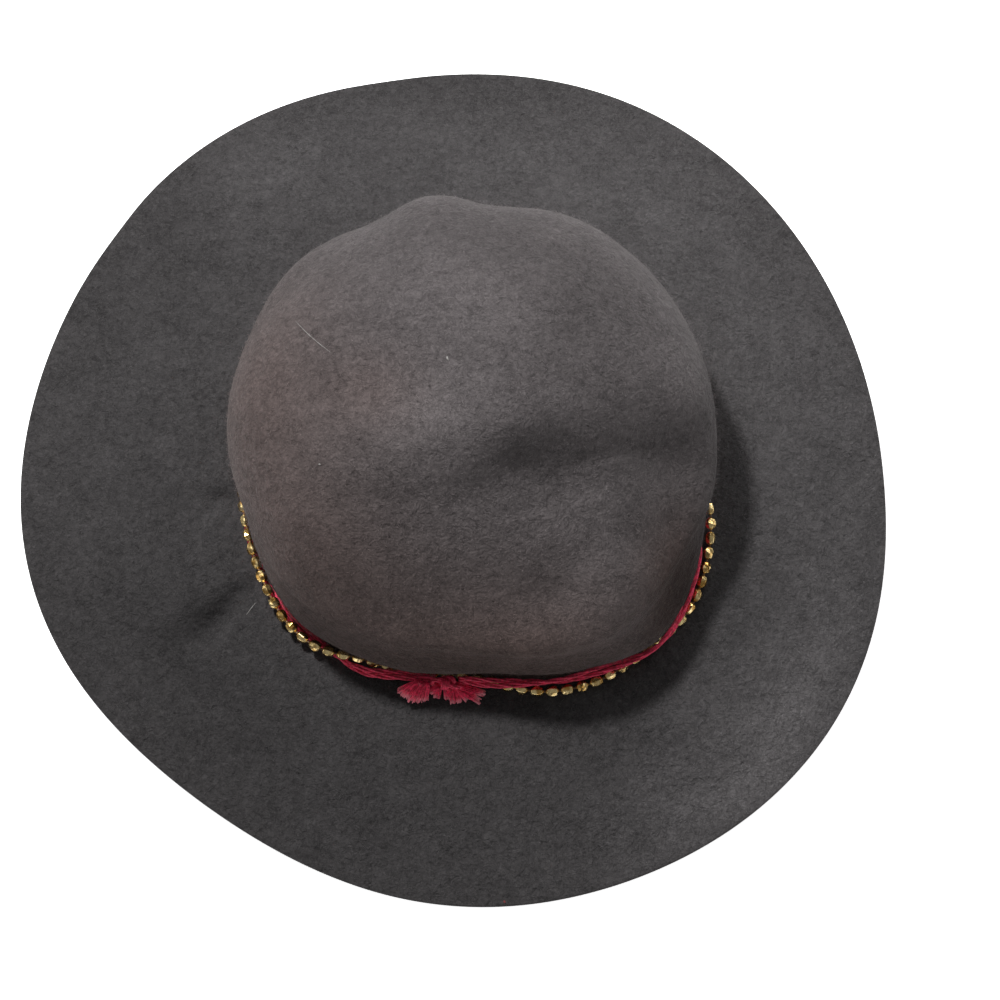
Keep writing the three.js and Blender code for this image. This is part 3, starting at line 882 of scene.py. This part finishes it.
def make_fuzz(row, material):
    """Short wool fibres that lie over the felt in every direction."""
    tries = row["fibres"] * FIBRE_TRIES
    station = rng.uniform(row["from"], row["to"], tries)
    turn = rng.uniform(0, 360, tries)
    step = 0.01
    here = inner_point(station, turn)
    down = np.linalg.norm(inner_point(np.minimum(station + step, 3), turn) - here, axis=-1)
    across = np.linalg.norm(inner_point(station, turn + 1) - here, axis=-1)
    area = down * across
    kept = rng.uniform(0, area.max(), tries) < area
    while kept.sum() < row["fibres"]:
        kept |= rng.uniform(0, area.max(), tries) < area
    chosen = np.flatnonzero(kept)[: row["fibres"]]
    station, turn = station[chosen], turn[chosen]
    normal = felt_normal(station, turn)
    root = outer_point(station, turn)
    heading = beside(rng.normal(size=root.shape), normal)
    lift = np.radians(between(FIBRE_LIFT, len(root)))
    length = between(FIBRE_LENGTH, len(root))[:, None]
    tip = root + length * around(lift, heading, normal)
    points, faces = spindles(root, tip, FIBRE_RADIUS)
    shade = np.repeat(rng.beta(*FIBRE_SHADES, len(root)), SPINDLE_POINTS)
    # the fibres carry the same painted light and shade as the felt under them
    felt_values_and_painted_light = wool_shares_and_painted_light(station, turn, root)
    values = {key: np.repeat(value, SPINDLE_POINTS) for key, value in felt_values_and_painted_light.items()}
    mesh_piece(row["name"], points, [faces], material, "felt", shade=shade, **values)


# Stray hairs and specks on the felt, each from one (station, turn) to another. red is 1 on red ones.
LINT = table(
    "place from to bow radius red",
    ("hair on the crown", (0.390, 154.5), (0.255, 163.5), 1.2, 0.13, 0),
    ("hair by the band", (2.055, 213.0), (2.150, 214.5), 0.15, 0.15, 0),
    ("speck on the tip", (0.066, 129.0), (0.059, 132.0), 0.2, 0.36, 0),
    ("speck at the left", (0.311, 205.0), (0.307, 205.6), 0.2, 0.30, 0),
    ("red fleck at the edge", (2.972, 273.4), (2.982, 273.6), 0.1, 0.5, 1),
)
LINT_STEPS = 13
LINT_SIDES = 6
LINT_ENDS = 0.35  # the radius at the ends, in shares of that in the middle
LINT_BOW = {"aside": 0.6, "up": 0.8}
LINT_GREY = {"deep": (0.17, 0.16, 0.15), "bright": (0.30, 0.29, 0.28)}
LINT_RED = (0.16, 0.02, 0.02)


def make_lint_material():
    material, tree, shader = material_with_nodes("lint")
    grey = ramp(tree, object_noise(tree, size_mm=1.5), LINT_GREY, start=0.3, end=0.7)
    colour = mix_colour(tree, attribute(tree, "shade"), grey, LINT_RED)
    set_inputs(tree, shader, Base_Color=colour, Roughness=0.7)
    return material


def make_lint(material):
    parts = Parts()
    for row in LINT:
        station, turn = (np.array(pair) for pair in zip(row["from"], row["to"]))
        start, end = outer_point(station, turn)
        share = np.linspace(0, 1, LINT_STEPS)
        straight = lerp(start, end, share[:, None])
        side = unit(np.cross(end - start, UP))
        bow = np.sin(share * math.pi)[:, None] * row["bow"]
        centres = straight + bow * (LINT_BOW["aside"] * side + LINT_BOW["up"] * UP) + row["radius"] * UP
        taper = row["radius"] * lerp(LINT_ENDS, 1, np.sin(share * math.pi))
        points, faces = tube(centres, taper, LINT_SIDES, UP)
        parts.add(points, faces, row["red"])
    parts.piece("lint", material, "felt")


# The beads

BEAD_SIDES = 7
# Along the bead from its middle in shares of its length, and its girth there in shares of its radius
BEAD_PROFILE = [(-0.46, 0.36), (-0.35, 0.80), (-0.12, 1.06), (0.13, 1.04), (0.34, 0.82), (0.46, 0.36)]
BEAD_LENGTH = 5.8
BEAD_UNEVENNESS = 0.11
BEAD_STRETCH = {"least": 0.92, "most": 1.04}
BEAD_STAGGER = 0.18
BEAD_BEVEL = {"width": 0.16, "angle": 12}
BEAD_THREAD = {"radius": 0.42, "steps": 720, "sides": 6}
FINE_STEPS = 1440  # round the crown, where lengths along the band are measured


def even_turns(point, pitch):
    """Turns that split a closed path into equal lengths of about the pitch."""
    fine = np.linspace(0, 360, FINE_STEPS + 1)
    lengths = distances_along(point(fine))
    count = round(lengths[-1] / pitch)
    return np.interp(np.arange(count) * lengths[-1] / count, lengths, fine)


def make_beads(material):
    """Uneven faceted nuggets, end to end on their thread."""
    starts = even_turns(bead_point, BEAD_PITCH)
    ends = np.append(starts[1:], 360)
    parts = Parts()
    for start, end in zip(starts, ends):
        a, b = bead_point(np.array([start, end]))
        centre = (a + b) / 2
        along = unit(b - a)
        first = unit(np.cross(along, UP))
        second = np.cross(along, first)
        roll = rng.uniform(0, 2 * math.pi)
        stretch = between(BEAD_STRETCH)
        rings = []
        for place, girth in BEAD_PROFILE:
            angle = roll + np.arange(BEAD_SIDES) * 2 * math.pi / BEAD_SIDES
            radius = BEAD_RADIUS * girth * (1 + rng.uniform(-BEAD_UNEVENNESS, BEAD_UNEVENNESS, BEAD_SIDES))
            stagger = rng.uniform(-BEAD_STAGGER, BEAD_STAGGER, BEAD_SIDES) * girth
            shift = place * BEAD_LENGTH * stretch + stagger
            spokes = radius[:, None] * around(angle, first, second)
            rings.append(centre + spokes + shift[:, None] * along)
        numbers = np.arange(len(rings) * BEAD_SIDES)[None]
        caps = [numbers[:, :BEAD_SIDES][:, ::-1], numbers[:, -BEAD_SIDES:]]
        parts.add(np.concatenate(rings), [grid_faces(len(rings), BEAD_SIDES)[:, ::-1], *caps])
    beads = parts.piece("gold_beads", material, "beads", smooth=False)
    bevel = beads.modifiers.new("worn edges", "BEVEL")
    bevel.width = BEAD_BEVEL["width"] * MM
    bevel.segments = 1
    bevel.limit_method = "ANGLE"
    bevel.angle_limit = math.radians(BEAD_BEVEL["angle"])
    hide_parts("bead_string")


def make_bead_thread(material):
    turns = np.arange(BEAD_THREAD["steps"]) * 360 / BEAD_THREAD["steps"]
    path = bead_point(turns)
    points, faces = tube(path, BEAD_THREAD["radius"], BEAD_THREAD["sides"], outward_at(turns), closed=True)
    mesh_piece("bead_thread", points, faces, material, "cord", shade=np.zeros(len(points)))


# The cords

CORD_STRANDS = {"strands": 3, "offset": 0.47, "radius": 0.46, "pitch": 25}
STRAND_SIDES = 6
# How each strand wanders in its turn, in radians, over lengths along the cord
STRAND_WANDER = table(
    "swing length shift",
    (0.12, 7.3, 2.4),
    (0.08, 3.1, 4.1),
)
OFFSET_WANDER = 0.8
CORD_STEPS = 900
CORD_PALENESS = 0.06  # the down on the threads
CORD_ENDS = 0.75  # where the cords end inside the knot, in shares of its half length
SLACK_STRANDS = {"turn": 262, "wide": 26, "more": 0.5}  # where the cords come untwisted, by the knot


def twisted_strands(parts, centres, outward, strands, offset, radius, pitch, loose=1.0):
    """Adds strands that wind round a path. loose is how many times their offset they stand apart."""
    along = unit(np.gradient(centres, axis=0))
    first = beside(outward, along)
    second = np.cross(along, first)
    travelled = distances_along(centres)
    for k in range(strands):
        wander = 0
        for row in STRAND_WANDER:
            wander = wander + row["swing"] * np.sin(travelled / row["length"] + row["shift"] * k)
        angle = 2 * math.pi * (k / strands + travelled / pitch) + wander
        spoke = around(angle, first, second)
        reach = (offset * loose * (1 + OFFSET_WANDER * wander))[:, None]
        points, faces = tube(centres + reach * spoke, radius, STRAND_SIDES, first)
        parts.add(points, faces, CORD_PALENESS)


def make_cord(name, side, node, material):
    knot_radius = plan_radius(KNOT["turn"], FOOT_SQUARENESS) + FELT + KNOT["out"]
    half_gap = math.degrees(KNOT["half_length"] * CORD_ENDS / knot_radius)
    turns = np.linspace(KNOT["turn"] + half_gap, KNOT["turn"] + 360 - half_gap, CORD_STEPS)
    parts = Parts()
    centres = cord_point(turns, side)
    from_knot = turn_between(turns, SLACK_STRANDS["turn"])
    loose = 1 + SLACK_STRANDS["more"] * bell(from_knot / SLACK_STRANDS["wide"])
    twisted_strands(parts, centres, outward_at(turns), loose=loose, **CORD_STRANDS)
    cord = parts.piece(name, material, "cord")
    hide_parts(node)


# The knot, its cut ends and the tassel

# The cut threads' lengths and sway, and where they begin to pale, are in shares of the way from root to tip
CUT_THREAD = {"radius": 0.24, "steps": 9, "sides": 4, "sway": 0.015}
CUT_LENGTH = {"least": 0.9, "most": 1.06}
BUNDLE = {"flatness": 0.5, "splay": 1.4}  # its height in shares of its width, and how late it splays
PALE_FROM = 0.68
TIP_PALENESS = {"least": 0.25, "most": 1.0}


def trefoil(steps):
    """How far a closed overhand knot goes lengthwise, crosswise and upwards, each within 1 of its middle."""
    t = np.linspace(0, 2 * math.pi, steps)[:, None]
    return (np.sin(t) + 2 * np.sin(2 * t)) / 3, (np.cos(t) - 2 * np.cos(2 * t)) / 3, -np.sin(3 * t) / 3


def add_wrap(parts, wrap, start, end, first, second):
    """A thread wound round the line from start to end, through the directions first and second."""
    share = np.linspace(0, 1, wrap["steps"])
    angle = 2 * math.pi * wrap["turns"] * share
    path = lerp(start, end, share[:, None]) + wrap["radius"] * around(angle, first, second)
    points, faces = tube(path, wrap["thread"], wrap["sides"], unit(end - start))
    parts.add(points, faces, wrap["shade"])


def add_threads(parts, root, tip, count, spread, root_spread, sag):
    """A loose bundle of fine threads from root to tip that splays towards its pale cut end."""
    along = unit(tip - root)
    side = unit(np.cross(along, UP))
    over = np.cross(side, along)
    reach = np.linalg.norm(tip - root)
    s = np.linspace(0, 1, CUT_THREAD["steps"])[:, None]
    for _ in range(count):
        angle = rng.uniform(0, 2 * math.pi)
        distance = math.sqrt(rng.uniform(0, 1))
        flat = distance * (math.cos(angle) * side + BUNDLE["flatness"] * math.sin(angle) * over)
        length = between(CUT_LENGTH)
        sway = rng.normal(0, CUT_THREAD["sway"], 3) * reach
        apart = lerp(root_spread, spread, s ** BUNDLE["splay"])
        centres = root + s * length * (tip - root) + flat * apart + sway * np.sin(s * math.pi)
        centres[:, 2] += sag * np.sin(s[:, 0] * math.pi)
        points, faces = tube(centres, CUT_THREAD["radius"], CUT_THREAD["sides"], over)
        pale = smoothstep(s[:, 0], PALE_FROM, 1.0) * between(TIP_PALENESS)
        shade = np.concatenate([np.repeat(pale, CUT_THREAD["sides"]), pale[:1], pale[-1:]])
        parts.add(points, faces, shade)


# Threads of the knot that fill in between its cut ends
KNOT_FILLS = table(
    "place root turn out up spread",
    ("towards the tassel", 260.8, 258.8, 11.4, 4.4, 1.0),
    ("between the front ends", 262.6, 264.2, 12.6, 3.2, 1.2),
    ("between the right ends", 264.8, 267.8, 12.8, 2.2, 0.9),
)
KNOT_STRANDS = {"strands": 4, "offset": 0.55, "radius": 0.48, "pitch": 14}
KNOT_STEPS = 160
KNOT_SKIN = 0.6  # the part of the knot's radius that its strands take up
KNOT_HEIGHT = 2.4  # in shares of its depth
KNOT_LEAN = 0.3  # how far out the strands' sections start
KNOT_WRAP = {"turns": 4, "radius": 2.1, "steps": 120, "thread": 0.5, "sides": 8, "shade": 0.05}
WRAP_PLACE = {"out": 0.6, "half_length": 1.6}
KNOT_THREADS = {"each_spread": 44, "splay": 1.5, "root_spread": 1.5, "sag": 0.6}


def make_knot(material):
    middle = beside_crown(KNOT["turn"], KNOT["out"], KNOT["up"])
    out = outward_at(KNOT["turn"])
    along = np.array([-out[1], out[0], 0])
    core = KNOT["radius"] - KNOT_SKIN
    lengthwise, crosswise, upwards = trefoil(KNOT_STEPS)
    centres = middle + lengthwise * along * KNOT["half_length"]
    centres = centres + crosswise * out * core + upwards * UP * core * KNOT_HEIGHT
    parts = Parts()
    outward = np.tile(UP, (len(centres), 1)) + KNOT_LEAN * out
    twisted_strands(parts, centres, outward, **KNOT_STRANDS)
    wrapped = middle + WRAP_PLACE["out"] * out
    half = WRAP_PLACE["half_length"] * along
    add_wrap(parts, KNOT_WRAP, wrapped - half, wrapped + half, out, UP)
    for row in KNOT_ENDS + KNOT_FILLS:
        root = beside_crown(row["root"], KNOT_MOUTH["out"], KNOT_MOUTH["up"])
        tip = beside_crown(row["turn"], row["out"], row["up"])
        count = round(KNOT_THREADS["each_spread"] * row["spread"])
        spread = KNOT_THREADS["splay"] * row["spread"]
        add_threads(parts, root, tip, count, spread, KNOT_THREADS["root_spread"], KNOT_THREADS["sag"])
    knot = parts.piece("tied_knot", material, "cord")
    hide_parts("band_knot")


TASSEL_THREADS = 170
# Where its first and last threads start, along the band, and how unevenly
TASSEL_ROOTS = {"from": -2.2, "to": 3.6, "uneven": 0.28}
TASSEL_REACH = {"least": 0.9, "most": 1.06}
TASSEL_DROP = {"least": 0.9, "most": 1.0}
TASSEL_SAG = {"least": 0.3, "most": 1.5}
TASSEL_SPREAD = {"tip": 0.7, "root": 0.2}
TASSEL_WRAP = {"turns": 3, "radius": 1.0, "steps": 60, "thread": 0.26, "sides": 6, "shade": 0.1}
TASSEL_WRAPPED = {"from": 0.6, "to": 1.6}


def make_tassel(material):
    root = beside_crown(TASSEL["turn"], TASSEL["out"], TASSEL["up"])
    parts = Parts()
    first, last = TASSEL_FAN
    band = outward_at(TASSEL["turn"] + 90)
    for k in range(TASSEL_THREADS):
        share = k / (TASSEL_THREADS - 1)
        heading, reach, drop = (lerp(first[key], last[key], share) for key in ("heading", "reach", "drop"))
        tip = root + outward_at(heading) * reach * between(TASSEL_REACH)
        tip[2] -= drop * between(TASSEL_DROP)
        uneven = rng.normal(0, TASSEL_ROOTS["uneven"], 3)
        start = root + uneven + band * lerp(TASSEL_ROOTS["from"], TASSEL_ROOTS["to"], share)
        add_threads(parts, start, tip, 1, TASSEL_SPREAD["tip"], TASSEL_SPREAD["root"], between(TASSEL_SAG))
    out = outward_at((first["heading"] + last["heading"]) / 2)
    lean = unit(out * first["reach"] - UP * first["drop"])
    side = unit(np.cross(lean, UP))
    over = np.cross(side, lean)
    start, end = (root + lean * TASSEL_WRAPPED[key] for key in ("from", "to"))
    add_wrap(parts, TASSEL_WRAP, start, end, side, over)
    tassel = parts.piece("thread_tassel", material, "cord")
    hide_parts("tassel")


# Camera, light and floor


def make_camera():
    data = bpy.data.cameras.new("camera")
    data.sensor_width = SENSOR
    data.lens = FOCAL_PIXELS * SENSOR / FRAME_WIDTH
    data.shift_x = (FRAME_WIDTH / 2 - FOOT_IN_FRAME["x"]) / FRAME_WIDTH
    data.shift_y = (FOOT_IN_FRAME["y"] - FRAME_WIDTH / 2) / FRAME_WIDTH
    camera = new_object("camera", data)
    elevation = math.radians(VIEW_ELEVATION)
    foot = Vector((CROWN_CENTRE["x"], CROWN_CENTRE["y"], 0)) * MM
    back = Vector((0, -math.cos(elevation), math.sin(elevation)))
    camera.location = foot + back * VIEW_DISTANCE * MM
    camera.rotation_euler = (math.pi / 2 - elevation, 0, 0)
    bpy.context.scene.camera = camera


LIGHTS = table(
    "name turn elevation distance size watts",
    ("key", 130, 66, 1000, 100, 11.0),
    ("back", 90, 35, 700, 400, 0.6),
    ("near back right", 60, 25, 350, 120, 0.3),
    ("right", 30, 60, 500, 200, 0.3),
)
WORLD_STRENGTH = 0.20


def make_lights():
    for row in LIGHTS:
        data = bpy.data.lights.new(row["name"], "AREA")
        data.shape = "DISK"
        data.size = row["size"] * MM
        data.energy = row["watts"]
        light = new_object(row["name"], data)
        elevation = math.radians(row["elevation"])
        direction = Vector(outward_at(row["turn"]) * math.cos(elevation) + UP * math.sin(elevation))
        light.location = direction * row["distance"] * MM
        light.rotation_euler = direction.to_track_quat("Z", "Y").to_euler()
    world = bpy.data.worlds.new("studio")
    world.use_nodes = True
    background = world.node_tree.nodes["Background"]
    set_inputs(world.node_tree, background, Color=(1, 1, 1), Strength=WORLD_STRENGTH)
    bpy.context.scene.world = world


FLOOR = {"half": 3000, "below": 0.2}
FLOOR_GLOW = 0.9  # a lit white sweep, which takes up most of the hat's shadow


def make_floor():
    mesh = bpy.data.meshes.new("floor")
    half = FLOOR["half"] * MM
    corners = [(-half, -half, 0), (half, -half, 0), (half, half, 0), (-half, half, 0)]
    mesh.from_pydata(corners, [], [(0, 1, 2, 3)])
    material, tree, shader = material_with_nodes("floor")
    set_inputs(tree, shader, Base_Color=(0.93, 0.93, 0.93), Roughness=0.9, Specular_IOR_Level=0.1)
    set_inputs(tree, shader, Emission_Color=(1, 1, 1), Emission_Strength=FLOOR_GLOW)
    mesh.materials.append(material)
    floor = new_object("floor", mesh)
    floor.location.z = -FLOOR["below"] * MM


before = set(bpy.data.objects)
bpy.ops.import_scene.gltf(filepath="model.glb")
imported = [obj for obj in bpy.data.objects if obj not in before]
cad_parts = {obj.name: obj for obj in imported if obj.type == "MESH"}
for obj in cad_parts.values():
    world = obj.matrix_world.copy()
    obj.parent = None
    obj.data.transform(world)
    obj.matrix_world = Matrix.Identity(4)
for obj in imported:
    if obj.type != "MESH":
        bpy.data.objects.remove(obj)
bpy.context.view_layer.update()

make_camera()
make_lights()
make_floor()

felt_material = make_felt_material()
fibre_material = make_fibre_material()
gold_material = make_gold_material()
cord_material = make_thread_material("crimson_thread", CRIMSON)
dark_thread_material = make_thread_material("bead_thread", DARK_BROWN)

make_felt(felt_material)
for fuzz_row in FUZZ:
    make_fuzz(fuzz_row, fibre_material)
make_lint(make_lint_material())
make_beads(gold_material)
make_bead_thread(dark_thread_material)
make_cord("crimson_cord_upper", 1, "upper_cord", cord_material)
make_cord("crimson_cord_lower", -1, "lower_cord", cord_material)
make_knot(cord_material)
make_tassel(cord_material)

bpy.context.scene.view_settings.view_transform = "Standard"
